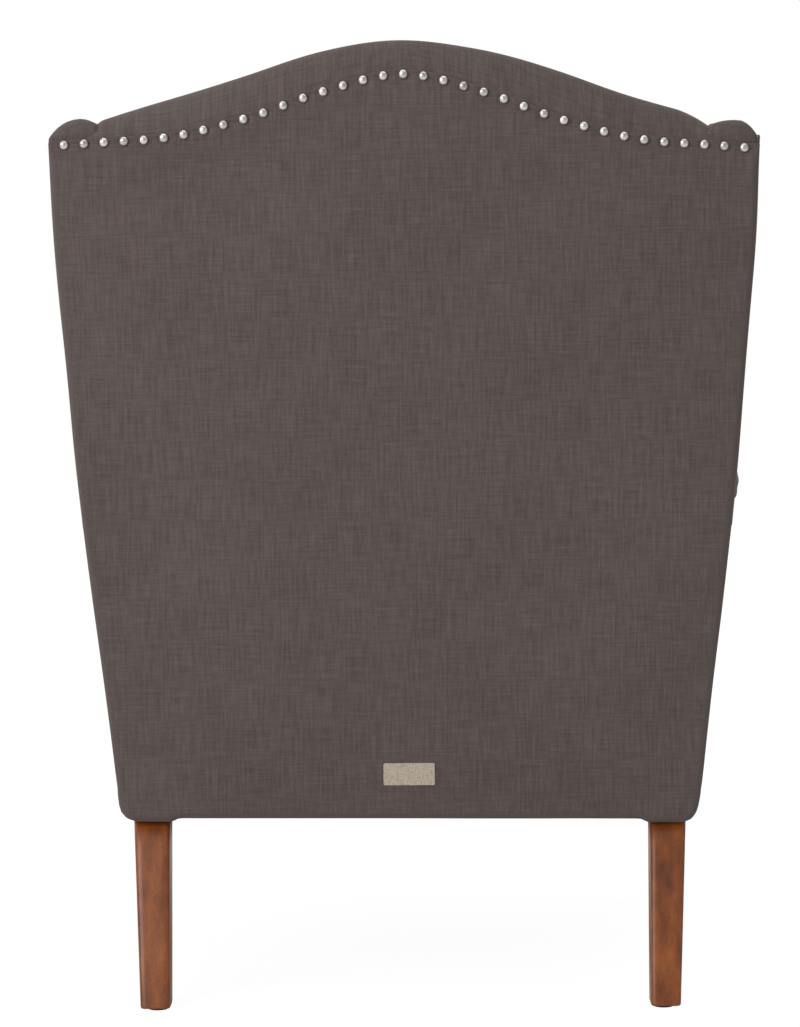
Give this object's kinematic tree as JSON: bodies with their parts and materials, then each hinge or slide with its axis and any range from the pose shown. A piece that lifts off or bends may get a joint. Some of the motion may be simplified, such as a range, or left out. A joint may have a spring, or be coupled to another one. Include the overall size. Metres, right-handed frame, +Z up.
{
  "type": "wing chair",
  "caption": "Camelback wing armchair with scroll arms, nailhead trim, raked rear legs and a loose boxed seat cushion.",
  "frame": {"origin": "on the floor under the centre of the chair's bounding box", "axes": "+Z up, the sitter faces -Y, +Y points out of the back, X runs from side to side"},
  "size_m": [0.8496, 0.814, 1.089],
  "materials": {
    "frame_wood": "matt",
    "leg_wood": "satin",
    "cover_linen": "matt",
    "zinc_steel": "satin",
    "glide_plastic": "matt",
    "spring_steel": "satin",
    "jute": "matt",
    "deck_cloth": "matt",
    "black_cambric": "matt",
    "twine": "matt",
    "nickel": "polished",
    "label_cloth": "matt",
    "cushion_foam": "matt",
    "zip_plastic": "matt",
    "zip_metal": "satin"
  },
  "bodies": {
    "chair": {"arm_facing_left": "cover_linen", "arm_facing_nails": "nickel", "arm_facing_right": "cover_linen", "arm_front_board_left": "frame_wood", "arm_front_board_right": "frame_wood", "arm_post_left": "frame_wood", "arm_post_right": "frame_wood", "arm_rail_left": "frame_wood", "arm_rail_right": "frame_wood", "back_buttons": "cover_linen", "back_hessian": "jute", "back_nails": "nickel", "back_post_left": "frame_wood", "back_post_right": "frame_wood", "back_tack_rail": "frame_wood", "back_webbing_cross": "jute", "back_webbing_upright": "jute", "button_twines": "twine", "corner_block_screws": "zinc_steel", "corner_blocks": "frame_wood", "crest_rail": "frame_wood", "crest_roll": "cover_linen", "deck_pad": "deck_cloth", "dust_cover": "black_cambric", "frame_dowels": "frame_wood", "front_border": "cover_linen", "front_leg_left": "leg_wood", "front_leg_right": "leg_wood", "front_seat_rail": "frame_wood", "inside_arm_left": "cover_linen", "inside_arm_right": "cover_linen", "inside_back": "cover_linen", "inside_wing_left": "cover_linen", "inside_wing_right": "cover_linen", "label_tag": "label_cloth", "leg_bolts": "zinc_steel", "leg_glides": "glide_plastic", "leg_nuts": "zinc_steel", "outside_arm_left": "cover_linen", "outside_arm_right": "cover_linen", "outside_back": "cover_linen", "outside_wing_left": "cover_linen", "outside_wing_right": "cover_linen", "rear_leg_left": "leg_wood", "rear_leg_right": "leg_wood", "rear_seat_rail": "frame_wood", "seat_hessian": "jute", "seat_springs": "spring_steel", "side_seat_rail_left": "frame_wood", "side_seat_rail_right": "frame_wood", "spring_clips": "spring_steel", "wing_post_left": "frame_wood", "wing_post_right": "frame_wood", "wing_rail_left": "frame_wood", "wing_rail_right": "frame_wood"},
    "cushion": {"cushion_core": "cushion_foam", "cushion_cover": "cover_linen", "cushion_welts": "cover_linen", "cushion_zip_chain": "zip_plastic"},
    "zip_slider": {"zip_slider": "zip_metal"}
  },
  "joints": [
    {"name": "cushion_lift", "type": "slide", "parent": "chair", "child": "cushion", "axis": [0, 0, 1], "range_m": [0, 0.32]},
    {"name": "zip_run", "type": "slide", "parent": "cushion", "child": "zip_slider", "axis": [-1, 0, 0], "range_m": [0, 0.345]}
  ]
}
